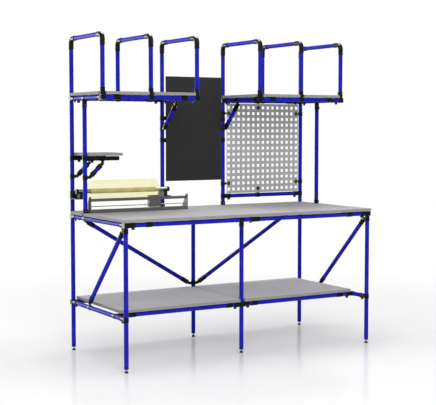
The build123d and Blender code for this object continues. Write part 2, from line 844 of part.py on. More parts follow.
board_clip_top = z_bracket + board_clip_share * (panel_middle.Z + clip_row_offset - z_bracket)
board_clip_heights = (z_bracket - board_clip_drop, board_clip_top)
board_screw_places = [
    (side * (board_right - ear_overlap / 2), height) for side in (-1, 1) for height in board_clip_heights
]

with BuildPart() as board:
    board_size = (board_right - board_left, board_thickness, board_height)
    block((board_left, board_front, board_bottom), board_size)
    for x, z in board_screw_places:
        hole = Vector(x, board_front, z)
        rod(hole, hole + along_y * board_thickness, pilot_radius, Mode.SUBTRACT)
finish(board, "board")

with BuildPart() as board_clips:
    ear_front = board_front + board_thickness
    for side, post_x in ((-1, x_inner_left), (1, x_inner_right)):
        ear_end = side * (board_right - ear_overlap)
        for z in board_clip_heights:
            low = Vector(post_x, y_back, z - board_clip_length / 2)
            high = low + along_z * board_clip_length
            rod(low, high, clamp_radius)
            ear_start = (min(post_x, ear_end), ear_front, low.Z)
            block(ear_start, (abs(ear_end - post_x), ear_thickness, board_clip_length))
            rod(low, high, clamp_bore_radius, Mode.SUBTRACT)
    for x, z in board_screw_places:
        hole = Vector(x, ear_front, z)
        rod(hole, hole + along_y * ear_thickness, pilot_radius, Mode.SUBTRACT)
finish(board_clips, "board_clips")

# Perforated panel, its clips and the screws that hold it and the dark board
with BuildPart() as perforated_panel:
    with BuildSketch(Plane(origin=panel_middle, x_dir=along_x, z_dir=-along_y)):
        Rectangle(panel_width, panel_height)
        with GridLocations(hole_pitch, hole_pitch, hole_columns, hole_rows):
            Rectangle(hole_size, hole_size, mode=Mode.SUBTRACT)
    extrude(amount=-panel_thickness)
finish(perforated_panel, "perforated_panel")

# Panel clips: centre of the ring, direction of the tube, and the hole that the ear reaches
panel_clip_ends = []
for side, post_x in ((-1, x_inner_right), (1, x_right)):
    for offset in (-clip_row_offset, clip_row_offset):
        target = panel_middle + along_x * side * column_half_span + along_z * offset
        panel_clip_ends.append((Vector(post_x, y_back, target.Z), along_z, target))
for side, rail_z in ((-1, z_panel), (1, z_upper)):
    target = panel_middle + along_x * clip_column_offset + along_z * side * row_half_span
    panel_clip_ends.append((Vector(target.X, y_back, rail_z), along_x, target))

with BuildPart() as panel_clips:
    for centre, grip, target in panel_clip_ends:
        half = grip * panel_clip_length / 2
        rod(centre - half, centre + half, clamp_radius)
        reach = Vector(target.X - centre.X, 0, target.Z - centre.Z)
        ear_origin = Vector(centre.X, panel_back, centre.Z)
        with BuildSketch(Plane(origin=ear_origin, x_dir=reach, z_dir=along_y)) as ear:
            Rectangle(reach.length, panel_ear_width, align=(Align.MIN, Align.CENTER))
            with Locations((reach.length, 0)):
                Circle(panel_ear_width / 2)
                Circle(pilot_radius, mode=Mode.SUBTRACT)
        extrude(ear.sketch, amount=ear_thickness)
        rod(centre - half, centre + half, clamp_bore_radius, Mode.SUBTRACT)
finish(panel_clips, "panel_clips")


def face_screw(face, washer, depth):
    """A washered screw through a board from its front face."""
    with BuildPart() as screw:
        rod(face - along_y * washer_thickness, face, washer / 2)
        rod(face - along_y * (washer_thickness + screw_head_height), face, screw_head_diameter / 2)
        rod(face, face + along_y * depth, screw_diameter / 2)
    return screw.part


board_screw_depth = board_thickness + ear_thickness + screw_head_height
panel_screw_depth = panel_thickness + ear_thickness + screw_head_height
for x, z in board_screw_places:
    screw_pieces.append(face_screw(Vector(x, board_front, z), washer_diameter, board_screw_depth))
for centre, grip, target in panel_clip_ends:
    screw_pieces.append(face_screw(target, panel_washer_diameter, panel_screw_depth))

with BuildPart() as board_screws:
    add(screw_pieces)
finish(board_screws, "board_screws")

# Levelling feet in threaded inserts
foot_places = {
    "front_left_foot": (x_left, y_front),
    "front_right_foot": (x_right, y_front),
    "front_middle_foot": (0, y_lower),
    "back_left_foot": (x_left, y_back),
    "back_middle_foot": (0, y_back),
    "back_right_foot": (x_right, y_back),
}

with BuildPart() as foot_inserts:
    for x, y in foot_places.values():
        plug_top = leg_bottom + insert_depth
        rod((x, y, leg_bottom - cap_flange), (x, y, leg_bottom), tube_radius)
        rod((x, y, leg_bottom), (x, y, plug_top), tube_radius - tube_wall - cap_clearance)
        thread_radius = stud_diameter / 2 + thread_clearance
        rod((x, y, leg_bottom - cap_flange), (x, y, plug_top), thread_radius, Mode.SUBTRACT)
finish(foot_inserts, "foot_inserts")

for foot_name, (x, y) in foot_places.items():
    with BuildPart() as foot:
        rod((x, y, 0), (x, y, foot_height), foot_diameter / 2)
        chamfer(foot.edges().sort_by(Axis.Z)[-1], foot_chamfer)
        rod((x, y, foot_height), (x, y, foot_height + foot_hub_height), foot_hub_diameter / 2)
        rod((x, y, foot_height), (x, y, leg_bottom + stud_reach), stud_diameter / 2)
    finish(foot, foot_name)

# Film roll on its bar, in two cradles on the posts
roll_y = y_back - roll_setforward
roll_height = worktop_height + roll_lift + roll_diameter / 2
roll_left = x_left + roll_start
roll_right = x_inner_left - roll_end_gap
shaft_left = x_left + shaft_inset
shaft_right = x_inner_left - shaft_inset
core_radius = tube_radius + core_clearance + core_wall
cradle_bore = tube_radius + cradle_clearance
cradle_radius = cradle_bore + cradle_wall
cradle_bottom = roll_height - cradle_drop

with BuildPart() as roll_brackets:
    for post_x, way in ((x_left, 1), (x_inner_left, -1)):
        cradle_x = post_x + way * cradle_inset
        ring_low = Vector(post_x, y_back, cradle_bottom)
        ring_high = ring_low + along_z * (cradle_drop + cradle_rise)
        rod(ring_low, ring_high, clamp_radius)
        floor_left = min(post_x - clamp_radius, cradle_x - cradle_width / 2)
        floor_right = max(post_x + clamp_radius, cradle_x + cradle_width / 2)
        floor_front = roll_y - cradle_radius
        floor_size = (floor_right - floor_left, y_back - floor_front, cradle_floor_thickness)
        block((floor_left, floor_front, cradle_bottom), floor_size)
        cradle_start = (cradle_x - cradle_width / 2, floor_front, cradle_bottom)
        block(cradle_start, (cradle_width, y_back - floor_front, cradle_drop))
        bore_start = (cradle_x - cradle_width, roll_y, roll_height)
        rod(bore_start, (cradle_x + cradle_width, roll_y, roll_height), cradle_bore, Mode.SUBTRACT)
        rod(ring_low, ring_high, clamp_bore_radius, Mode.SUBTRACT)
finish(roll_brackets, "roll_brackets")

with BuildPart() as roll_shaft:
    tube((shaft_left, roll_y, roll_height), (shaft_right, roll_y, roll_height))
finish(roll_shaft, "roll_shaft")

with BuildPart() as shaft_caps:
    plug_radius = tube_radius - tube_wall - cap_clearance
    for x, way in ((shaft_left, -along_x), (shaft_right, along_x)):
        shaft_end = Vector(x, roll_y, roll_height)
        rod(shaft_end, shaft_end + way * shaft_cap_length, shaft_cap_diameter / 2)
        rod(shaft_end, shaft_end - way * cap_depth, plug_radius)
finish(shaft_caps, "shaft_caps")

with BuildPart() as roll_core:
    core_start = (roll_left - core_overhang, roll_y, roll_height)
    core_end = (roll_right + core_overhang, roll_y, roll_height)
    rod(core_start, core_end, core_radius)
    rod(core_start, core_end, tube_radius + core_clearance, Mode.SUBTRACT)
finish(roll_core, "roll_core")

with BuildPart() as film_roll:
    roll_end = (roll_right, roll_y, roll_height)
    rod((roll_left, roll_y, roll_height), roll_end, roll_diameter / 2)
    rod((roll_left, roll_y, roll_height), roll_end, core_radius + core_clearance, Mode.SUBTRACT)
finish(film_roll, "film_roll")

# Bench cutter on the worktop: two end plates joined by a base bar, a hold-down rod and a guide bar
cutter_x = x_left + clamp_radius + cutter_gap
cutter_y = roll_y - roll_diameter / 2 - cutter_roll_gap - plate_depth
cutter_z = worktop_height
inner_x = cutter_x + plate_thickness
inner_length = cutter_length - 2 * plate_thickness

with BuildPart() as cutter_end_plates:
    for x in (cutter_x, cutter_x + cutter_length - plate_thickness):
        plate_plane = Plane(origin=(x, cutter_y, cutter_z), x_dir=along_y, z_dir=along_x)
        plate_corners = [(0, 0), (plate_depth, 0), (plate_top_depth, plate_height), (0, plate_height)]
        with BuildSketch(plate_plane) as outline:
            with BuildLine():
                Polyline(*plate_corners, close=True)
            make_face()
        extrude(outline.sketch, amount=plate_thickness)
finish(cutter_end_plates, "cutter_end_plates")

with BuildPart() as cutter_base:
    block((inner_x, cutter_y + base_setback, cutter_z), (inner_length, base_depth, base_height))
finish(cutter_base, "cutter_base")

with BuildPart() as cutter_hold_rod:
    rod_y = cutter_y + hold_rod_setback
    rod_z = cutter_z + hold_rod_height
    rod((inner_x, rod_y, rod_z), (inner_x + inner_length, rod_y, rod_z), hold_rod_diameter / 2)
finish(cutter_hold_rod, "cutter_hold_rod")

with BuildPart() as cutter_guide_bar:
    guide_y = cutter_y + guide_setback
    guide_z = cutter_z + guide_centre - guide_height / 2
    block((inner_x, guide_y, guide_z), (inner_length, guide_depth, guide_height))
finish(cutter_guide_bar, "cutter_guide_bar")

blade_x = cutter_x + carriage_start + carriage_length / 2
blade_y = guide_y + guide_depth / 2
blade_z = cutter_z + blade_height
pocket_radius = blade_diameter / 2 + blade_pocket_clearance
pocket_width = blade_thickness + 2 * blade_pocket_clearance
carriage_y = blade_y - carriage_depth / 2

with BuildPart() as cutter_carriage:
    carriage_size = (carriage_length, carriage_depth, carriage_top - carriage_bottom)
    block((cutter_x + carriage_start, carriage_y, cutter_z + carriage_bottom), carriage_size)
    fillet(cutter_carriage.edges().filter_by(Axis.Y), carriage_corner)
    block(
        (cutter_x + carriage_start, guide_y - slide_clearance, guide_z - slide_clearance),
        (carriage_length, guide_depth + 2 * slide_clearance, guide_height + 2 * slide_clearance),
        Mode.SUBTRACT,
    )
    pocket_front = (blade_x, blade_y - pocket_width / 2, blade_z)
    rod(pocket_front, (blade_x, blade_y + pocket_width / 2, blade_z), pocket_radius, Mode.SUBTRACT)
    pin_bore = blade_pin_diameter / 2 + blade_pin_clearance
    pin_start = Vector(blade_x, carriage_y, blade_z)
    rod(pin_start, pin_start + along_y * carriage_depth, pin_bore, Mode.SUBTRACT)
finish(cutter_carriage, "cutter_carriage")

with BuildPart() as blade_pin:
    rod(pin_start, pin_start + along_y * carriage_depth, blade_pin_diameter / 2)
finish(blade_pin, "blade_pin")

with BuildPart() as cutter_blade:
    blade_front = (blade_x, blade_y - blade_thickness / 2, blade_z)
    blade_back = (blade_x, blade_y + blade_thickness / 2, blade_z)
    rod(blade_front, blade_back, blade_diameter / 2)
    rod(blade_front, blade_back, blade_pin_diameter / 2 + blade_bore_clearance, Mode.SUBTRACT)
finish(cutter_blade, "cutter_blade")
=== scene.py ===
"""Looks of a packing table: coated steel tube in black clamps, grey boards, a film roll and a cutter."""
import math

import bmesh
import bpy
from mathutils import Matrix, Vector


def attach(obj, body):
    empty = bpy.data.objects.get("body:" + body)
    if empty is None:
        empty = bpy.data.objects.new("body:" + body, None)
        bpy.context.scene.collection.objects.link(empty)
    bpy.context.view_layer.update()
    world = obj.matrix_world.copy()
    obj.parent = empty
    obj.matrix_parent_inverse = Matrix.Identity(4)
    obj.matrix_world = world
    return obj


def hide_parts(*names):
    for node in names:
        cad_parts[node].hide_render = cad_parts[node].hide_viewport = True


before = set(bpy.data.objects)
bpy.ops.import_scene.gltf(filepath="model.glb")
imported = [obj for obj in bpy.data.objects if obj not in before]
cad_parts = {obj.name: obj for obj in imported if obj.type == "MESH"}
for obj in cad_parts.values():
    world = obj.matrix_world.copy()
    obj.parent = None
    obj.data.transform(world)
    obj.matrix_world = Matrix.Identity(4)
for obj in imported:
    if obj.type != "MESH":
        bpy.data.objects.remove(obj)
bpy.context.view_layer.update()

# Tube frame: drawn steel tube of 28 mm with a blue plastic coat that is pulled over it in one skin.
# The coat is smooth and a little waxy. Its tone drifts over some 70 mm, handling scuffs of 6 mm change its
# gloss, and the fine ripple of the skin is drawn at 2.4 mm, coarser than it is, so that it shows.


def linear(code):
    """Linear colour of an sRGB hex code."""
    shares = [int(code[i:i + 2], 16) / 255 for i in (0, 2, 4)]
    return [s / 12.92 if s <= 0.04045 else ((s + 0.055) / 1.055) ** 2.4 for s in shares] + [1.0]


def add(tree, kind, inputs, **settings):
    """Add a shader node with its settings; an input is a value or the socket that feeds it."""
    made = tree.nodes.new("ShaderNode" + kind)
    for name, value in settings.items():
        setattr(made, name, value)
    for name, value in inputs.items():
        if isinstance(value, bpy.types.NodeSocket):
            tree.links.new(value, made.inputs[name])
        else:
            made.inputs[name].default_value = value
    return made.outputs


def new_finish(name):
    """A material with its node tree and its main shader."""
    made = bpy.data.materials.new(name)
    made.use_nodes = True
    return made, made.node_tree, made.node_tree.nodes["Principled BSDF"]


def dress(finish, *names):
    """Give CAD nodes their finish."""
    for name in names:
        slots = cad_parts[name].data.materials
        slots.clear()
        slots.append(finish)


coat, tree, shader = new_finish("blue_plastic_coat")
place = add(tree, "TexCoord", {})["Object"]
tone = add(tree, "TexNoise", {"Vector": place, "Scale": 14.0, "Detail": 3.0})["Fac"]
blue = add(tree, "ValToRGB", {"Fac": tone})["Color"]
ramp = blue.node.color_ramp
ramp.elements[0].position, ramp.elements[1].position = 0.3, 0.7
ramp.elements[0].color, ramp.elements[1].color = linear("1b1ba6"), linear("2626b4")
scuffs = add(tree, "TexNoise", {"Vector": place, "Scale": 160.0, "Detail": 4.0, "Roughness": 0.65})["Fac"]
gloss = add(tree, "MapRange", {"Value": scuffs, 1: 0.35, 2: 0.75, 3: 0.4, 4: 0.45})[0]
skin = add(tree, "TexNoise", {"Vector": place, "Scale": 420.0, "Detail": 2.0})["Fac"]
relief = add(tree, "Bump", {"Height": skin, "Strength": 0.015, "Distance": 0.0002})["Normal"]
for socket, value in (("Base Color", blue), ("Roughness", gloss), ("Normal", relief)):
    tree.links.new(value, shader.inputs[socket])
shader.inputs["Specular IOR Level"].default_value = 0.05
dress(
    coat, "front_legs", "middle_legs", "back_posts", "inner_posts", "side_uprights",
    "worktop_long_rails", "worktop_side_rails", "lower_long_rails", "lower_side_rails", "cross_rails",
    "upper_front_rails", "upper_back_rails", "upper_end_rails", "divider_uprights", "divider_top_bars",
    "panel_rail", "side_braces", "back_braces", "shelf_brackets", "side_shelf_struts",
)

# Clamp joints: half shells pressed from 2 mm steel and dipped in black paint, bolted round the tubes.
# The paint is glossy and worn a shade lighter in spots of 11 mm. The press grain under it is far finer than
# a millimetre and is drawn at 1.4 mm, so that it shows.
clamp_paint, tree, shader = new_finish("black_dip_paint")
place = add(tree, "TexCoord", {})["Object"]
wear = add(tree, "TexNoise", {"Vector": place, "Scale": 90.0, "Detail": 5.0, "Roughness": 0.7})["Fac"]
black = add(tree, "ValToRGB", {"Fac": wear})["Color"]
ramp = black.node.color_ramp
ramp.elements[0].position, ramp.elements[1].position = 0.52, 0.8
ramp.elements[0].color, ramp.elements[1].color = linear("060608"), linear("17181b")
gloss = add(tree, "MapRange", {"Value": wear, 1: 0.3, 2: 0.8, 3: 0.18, 4: 0.34})[0]
grain = add(tree, "TexNoise", {"Vector": place, "Scale": 700.0, "Detail": 2.0})["Fac"]
relief = add(tree, "Bump", {"Height": grain, "Strength": 0.08, "Distance": 0.0003})["Normal"]
for socket, value in (("Base Color", black), ("Roughness", gloss), ("Normal", relief)):
    tree.links.new(value, shader.inputs[socket])
shader.inputs["Specular IOR Level"].default_value = 0.13
dress(
    clamp_paint, "lower_clamps", "worktop_clamps", "upper_clamps", "brace_clamps", "brace_sleeves",
    "divider_elbows", "shelf_clips", "board_clips", "panel_clips", "side_shelf_arms",
)

# Lips at the mouth of every clamp sleeve: the edge of the pressed steel, rolled outwards so that it doesn't
# cut into the coat of the tube, and painted together with the shell. One lip runs once round each tube.
leg_x, leg_y, inner_x, divider_x = 0.9, 0.395, 0.24, 0.57
side_y, upper_y, lower_y = 0.19, -0.085, -0.24
lower_z, work_z, side_z, upper_z, panel_z, top_z = 0.3175, 0.8795, 1.2595, 1.6435, 0.976, 2.026
mouth, elbow_mouth, lip_radius, lip_section = 0.0572, 0.0664, 0.0163, 0.0011
right, back, up = Vector((1, 0, 0)), Vector((0, 1, 0)), Vector((0, 0, 1))


def turned(shape, centre, way, profile, steps=32):
    """Turn a profile of (radius, height) points round an axis through a point."""
    side = way.orthogonal().normalized()
    points = [shape.verts.new(centre + side * radius + way * height) for radius, height in profile]
    edges = [shape.edges.new(pair) for pair in zip(points, points[1:])]
    bmesh.ops.spin(
        shape, geom=points + edges, cent=centre, axis=way, angle=math.tau, steps=steps, use_merge=True
    )


def lip(shape, centre, way):
    """Add a rolled lip: a small round section turned once about a tube."""
    side = way.orthogonal().normalized()
    turn = Matrix((side, way, side.cross(way))).transposed().to_4x4()
    spot = Matrix.Translation(centre + side * lip_radius) @ turn
    made = bmesh.ops.create_circle(shape, segments=8, radius=lip_section, matrix=spot)
    edges = list({edge for vert in made["verts"] for edge in vert.link_edges})
    bmesh.ops.spin(
        shape, geom=made["verts"] + edges, cent=centre, axis=way, angle=math.tau, steps=28, use_merge=True
    )


def make_piece(name, shape, finish, body, sharp=35):
    """Close a shape into an object that has its finish and rides on its body."""
    bmesh.ops.remove_doubles(shape, verts=shape.verts, dist=1e-6)
    bmesh.ops.recalc_face_normals(shape, faces=shape.faces)
    mesh = bpy.data.meshes.new(name)
    shape.to_mesh(mesh)
    shape.free()
    mesh.materials.append(finish)
    mesh.shade_smooth()
    mesh.set_sharp_from_angle(angle=math.radians(sharp))
    made = bpy.data.objects.new(name, mesh)
    bpy.context.scene.collection.objects.link(made)
    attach(made, body)
    return made


sleeves = []
for way in (-1, 1):
    leg, inner, divider = right * way * leg_x, right * way * inner_x, right * way * divider_x
    inward = -right * way
    at_back, at_side, at_front = back * leg_y, back * side_y, -back * leg_y
    sleeves += [(leg + at_back + up * lower_z, arm) for arm in (inward, -back)]
    sleeves += [(leg + at_front + up * lower_z, back), (leg + back * lower_y + up * lower_z, inward)]
    sleeves += [(back * y + up * lower_z, right * way) for y in (lower_y, leg_y)]
    sleeves += [(leg + at_front + up * work_z, arm) for arm in (inward, back)]
    sleeves += [(leg + at_back + up * work_z, arm) for arm in (inward, -back)]
    sleeves += [(leg + at_side + up * work_z, up), (inner + at_back + up * work_z, up)]
    sleeves += [(leg + at_side + up * upper_z, -up)]
    sleeves += [(leg + at_back + up * upper_z, arm) for arm in (inward, -back)]
    sleeves += [(inner + at_back + up * upper_z, arm) for arm in (-inward, -back)]
    sleeves += [(divider + back * y + up * upper_z, up) for y in (upper_y, leg_y)]
    at_upper = back * upper_y + up * upper_z
    sleeves += [(corner + at_upper, arm) for corner in (leg, inner) for arm in (back, up)]
sleeves += [(back * y + up * z, arm) for y, z, arm in (
    (lower_y, lower_z, back), (leg_y, lower_z, -back), (leg_y, work_z, -back), (leg_y, work_z, -up),
    (lower_y, work_z, -up), (-leg_y, work_z, back),
)]
panel_line = back * leg_y + up * panel_z
sleeves += [(right * x + panel_line, arm) for x, arm in ((inner_x, right), (leg_x, -right))]
sleeves += [(back * y + up * side_z - right * leg_x, right) for y in (side_y, leg_y)]
shape = bmesh.new()
for centre, arm in sleeves:
    lip(shape, centre + arm * mouth, arm)
for x in (-leg_x, -divider_x, -inner_x, inner_x, divider_x, leg_x):
    for y, way in ((upper_y, 1), (leg_y, -1)):
        corner = Vector((x, y, top_z))
        lip(shape, corner - up * elbow_mouth, up)
        lip(shape, corner + back * way * elbow_mouth, back)
make_piece("clamp_lips", shape, clamp_paint, "frame")

# Bolts, nuts, pivots and screws: cold-formed steel, screwed home, with a thin black zinc plate.
# The plate is a dark metal with a dull shine. Its mottle is drawn at 3 mm, coarser than it is.
black_zinc, tree, shader = new_finish("black_zinc_plate")
place = add(tree, "TexCoord", {})["Object"]
mottle = add(tree, "TexNoise", {"Vector": place, "Scale": 350.0, "Detail": 3.0})["Fac"]
dusk = add(tree, "ValToRGB", {"Fac": mottle})["Color"]
ramp = dusk.node.color_ramp
ramp.elements[0].position, ramp.elements[1].position = 0.35, 0.7
ramp.elements[0].color, ramp.elements[1].color = linear("2c2c30"), linear("4c4c51")
gloss = add(tree, "MapRange", {"Value": mottle, 1: 0.3, 2: 0.8, 3: 0.24, 4: 0.45})[0]
for socket, value in (("Base Color", dusk), ("Roughness", gloss)):
    tree.links.new(value, shader.inputs[socket])
shader.inputs["Metallic"].default_value = 1.0
dress(black_zinc, "clamp_bolts", "clamp_nuts", "brace_pivots", "board_screws")

# Plugs in the open tube ends and in the legs, and the cradles of the roll: moulded black plastic.
# It has a fine matt mould grain, so that it takes the light more softly than the painted clamps. The grain
# of a third of a millimetre is drawn at 1.1 mm, so that it shows.
plug_plastic, tree, shader = new_finish("moulded_black_plastic")
place = add(tree, "TexCoord", {})["Object"]
grain = add(tree, "TexNoise", {"Vector": place, "Scale": 900.0, "Detail": 2.0})["Fac"]
black = add(tree, "ValToRGB", {"Fac": grain})["Color"]
ramp = black.node.color_ramp
ramp.elements[0].color, ramp.elements[1].color = linear("151517"), linear("26262a")
gloss = add(tree, "MapRange", {"Value": grain, 3: 0.42, 4: 0.6})[0]
relief = add(tree, "Bump", {"Height": grain, "Strength": 0.25, "Distance": 0.0003})["Normal"]
for socket, value in (("Base Color", black), ("Roughness", gloss), ("Normal", relief)):
    tree.links.new(value, shader.inputs[socket])
shader.inputs["Specular IOR Level"].default_value = 0.12
dress(plug_plastic, "tube_caps", "foot_inserts", "shaft_caps", "roll_brackets")

# Levelling feet: a moulded black pad under a zinc-plated hexagon nut, on a stud that screws into the leg.
# The bright zinc is a light metal with a soft mottle of 3 mm, and shows as a bright spot under the tube.
foot_places = {
    "front_left_foot": (-leg_x, -leg_y), "front_right_foot": (leg_x, -leg_y),
    "front_middle_foot": (0, lower_y), "back_left_foot": (-leg_x, leg_y),
    "back_middle_foot": (0, leg_y), "back_right_foot": (leg_x, leg_y),
}
bright_zinc, tree, shader = new_finish("bright_zinc_thread")
place = add(tree, "TexCoord", {})["Object"]
mottle = add(tree, "TexNoise", {"Vector": place, "Scale": 350.0, "Detail": 3.0})["Fac"]
silver = add(tree, "ValToRGB", {"Fac": mottle})["Color"]
ramp = silver.node.color_ramp
ramp.elements[0].position, ramp.elements[1].position = 0.35, 0.7
ramp.elements[0].color, ramp.elements[1].color = linear("b3b6bb"), linear("d9dadc")
gloss = add(tree, "MapRange", {"Value": mottle, 1: 0.3, 2: 0.8, 3: 0.24, 4: 0.4})[0]
for socket, value in (("Base Color", silver), ("Roughness", gloss)):
    tree.links.new(value, shader.inputs[socket])
shader.inputs["Metallic"].default_value = 1.0
pad_profile = [
    (0.0, 0.0), (0.0113, 0.0), (0.0125, 0.0009), (0.0125, 0.0031), (0.0116, 0.0045), (0.0095, 0.0056),
    (0.0083, 0.0072), (0.0083, 0.0115), (0.0, 0.0115),
]
nut_profile = [
    (0.0, 0.0116), (0.0078, 0.0116), (0.0084, 0.0121), (0.0084, 0.0155), (0.0078, 0.016), (0.0, 0.016),
]
thread_start, thread_pitch, thread_turns, stud_top = 0.0162, 0.0015, 34, 0.0758
stud_root, stud_crest, stud_bottom, tip_height, tip_inset = 0.0043, 0.0049, 0.0158, 0.0008, 0.001
stud_profile = [(0.0, stud_bottom), (stud_root, stud_bottom)]
for turn in range(thread_turns):
    height = thread_start + turn * thread_pitch
    stud_profile += [(stud_root, height), (stud_crest, height + thread_pitch / 2)]
stud_profile += [(stud_root, stud_top - tip_height), (stud_root - tip_inset, stud_top), (0.0, stud_top)]
for name, (x, y) in foot_places.items():
    shape = bmesh.new()
    turned(shape, Vector((x, y, 0)), up, pad_profile)
    pad = make_piece(name + "_pad", shape, plug_plastic, name)
    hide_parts(name)
    shape = bmesh.new()
    turned(shape, Vector((x, y, 0)), up, stud_profile, steps=24)
    turned(shape, Vector((x, y, 0)), up, nut_profile, steps=6)
    make_piece(name + "_stud", shape, bright_zinc, name, sharp=25)

# Boards: chipboard of 18 mm faced with grey laminate, with a darker plastic band ironed on the edges.
# The laminate has a low sheen over a pearl grain, drawn at 2 mm and coarser than it is, with a faint cloud
# of 170 mm. The edge band has one flat tone.
laminate, tree, shader = new_finish("grey_laminate_board")
coordinates = add(tree, "TexCoord", {})
place = coordinates["Object"]
grain = add(tree, "TexNoise", {"Vector": place, "Scale": 480.0, "Detail": 3.0})["Fac"]
cloud = add(tree, "TexNoise", {"Vector": place, "Scale": 6.0, "Detail": 2.0})["Fac"]
mixed = add(tree, "Math", {0: grain, 1: cloud}, operation="ADD")[0]
halved = add(tree, "Math", {0: mixed, 1: 0.5}, operation="MULTIPLY")[0]
face = add(tree, "ValToRGB", {"Fac": halved})["Color"]
ramp = face.node.color_ramp
ramp.elements[0].position, ramp.elements[1].position = 0.35, 0.65
ramp.elements[0].color, ramp.elements[1].color = linear("adabac"), linear("bbb9bb")
flatness = add(tree, "SeparateXYZ", {"Vector": coordinates["Normal"]})["Z"]
is_face = add(tree, "Math", {0: flatness}, operation="ABSOLUTE")[0]
faced = add(tree, "Mix", {0: is_face, 6: linear("999895"), 7: face}, data_type="RGBA")[2]
relief = add(tree, "Bump", {"Height": grain, "Strength": 0.08, "Distance": 0.0003})["Normal"]
gloss = add(tree, "MapRange", {"Value": grain, 1: 0.3, 2: 0.7, 3: 0.55, 4: 0.68})[0]
for socket, value in (("Base Color", faced), ("Roughness", gloss), ("Normal", relief)):
    tree.links.new(value, shader.inputs[socket])
shader.inputs["Specular IOR Level"].default_value = 0.05
dress(laminate, "worktop", "upper_shelves", "side_shelf")

# Lower shelf boards: the same chipboard and laminate as the worktop, with the same darker band on its edges.
# Their face colour is painted light: drawn paler than the worktop's, so that the shelf stays light in its
# shade.
painted_light_laminate = laminate.copy()
painted_light_laminate.name = "painted_light_laminate_board"
ramp = next(node for node in painted_light_laminate.node_tree.nodes if node.type == "VALTORGB").color_ramp
ramp.elements[0].color, ramp.elements[1].color = linear("c9c7c9"), linear("d6d4d6")
dress(painted_light_laminate, "lower_shelves")

# Board between the inner posts: steel sheet of 3 mm, screwed to ears on the posts.
# Its dark powder coat is baked on matt and textured, so that it mirrors nothing. The texture is drawn at
# 1.5 mm, so that it shows.
dark_powder, tree, shader = new_finish("dark_textured_powder")
place = add(tree, "TexCoord", {})["Object"]
grain = add(tree, "TexNoise", {"Vector": place, "Scale": 650.0, "Detail": 3.0})["Fac"]
dark = add(tree, "ValToRGB", {"Fac": grain})["Color"]
ramp = dark.node.color_ramp
ramp.elements[0].position, ramp.elements[1].position = 0.3, 0.7
ramp.elements[0].color, ramp.elements[1].color = linear("29292a"), linear("363636")
relief = add(tree, "Bump", {"Height": grain, "Strength": 0.3, "Distance": 0.0003})["Normal"]
for socket, value in (("Base Color", dark), ("Normal", relief)):
    tree.links.new(value, shader.inputs[socket])
shader.inputs["Roughness"].default_value = 0.6
shader.inputs["Specular IOR Level"].default_value = 0.1
dress(dark_powder, "board")

# Perforated panel: 2 mm steel sheet with square punched holes, screwed to clips on the posts.
# Its light grey powder coat has a low sheen over a faint orange peel of 2 mm.
grey_powder, tree, shader = new_finish("light_grey_powder")
place = add(tree, "TexCoord", {})["Object"]
peel = add(tree, "TexNoise", {"Vector": place, "Scale": 520.0, "Detail": 2.0})["Fac"]
grey = add(tree, "ValToRGB", {"Fac": peel})["Color"]
ramp = grey.node.color_ramp
ramp.elements[0].position, ramp.elements[1].position = 0.3, 0.7
ramp.elements[0].color, ramp.elements[1].color = linear("b4b4b4"), linear("c3c3c2")
relief = add(tree, "Bump", {"Height": peel, "Strength": 0.2, "Distance": 0.0003})["Normal"]
for socket, value in (("Base Color", grey), ("Normal", relief)):
    tree.links.new(value, shader.inputs[socket])
shader.inputs["Roughness"].default_value = 0.45
shader.inputs["Specular IOR Level"].default_value = 0.15
dress(grey_powder, "perforated_panel")

# Film roll: see-through yellow film wound on a card core, so that the core shows through it as a band.
# Air between the turns clouds it in faint bands some 11 mm wide, and the turns step at the ends, where the
# winding strayed.
roll_y, roll_z, roll_left, roll_right = 0.32, 1.044, -0.803, -0.338
roll_radius, roll_bore = 0.071, 0.0163
film, tree, shader = new_finish("wound_yellow_film")
place = add(tree, "TexCoord", {})["Object"]
spread = add(tree, "Mapping", {"Vector": place, "Scale": (90.0, 3.0, 3.0)})["Vector"]
bands = add(tree, "TexNoise", {"Vector": spread, "Scale": 1.0, "Detail": 3.0})["Fac"]
relief = add(tree, "Bump", {"Height": bands, "Strength": 0.1, "Distance": 0.0006})["Normal"]
gloss = add(tree, "MapRange", {"Value": bands, 3: 0.3, 4: 0.45})[0]
for socket, value in (("Roughness", gloss), ("Normal", relief)):
    tree.links.new(value, shader.inputs[socket])
shader.inputs["Base Color"].default_value = linear("fffee0")
shader.inputs["Specular IOR Level"].default_value = 0.2
through = add(tree, "BsdfTransparent", {"Color": linear("fffee8")})["BSDF"]
haze = add(tree, "BsdfTranslucent", {"Color": linear("fffee2")})["BSDF"]
cloudy = add(tree, "MixShader", {0: 0.5, 1: shader.outputs[0], 2: haze})[0]
share = add(tree, "MapRange", {"Value": bands, 3: 0.13, 4: 0.2})[0]
sheer = add(tree, "MixShader", {0: share, 1: through, 2: cloudy})[0]
tree.links.new(sheer, tree.nodes["Material Output"].inputs["Surface"])

end_turns, end_step = 8, 0.0007
step_width = (roll_radius - roll_bore) / end_turns
flat_share, edge_drop, edge_start, edge_end = 0.92, 0.0006, 0.0012, 0.0035
slack, slack_left, swell_middle, slack_right = 0.0002, -0.65, -0.57, -0.45


def turn_span(turn):
    """Inner and outer radius of the flat part of an end step."""
    return roll_bore + turn * step_width, roll_bore + (turn + flat_share) * step_width


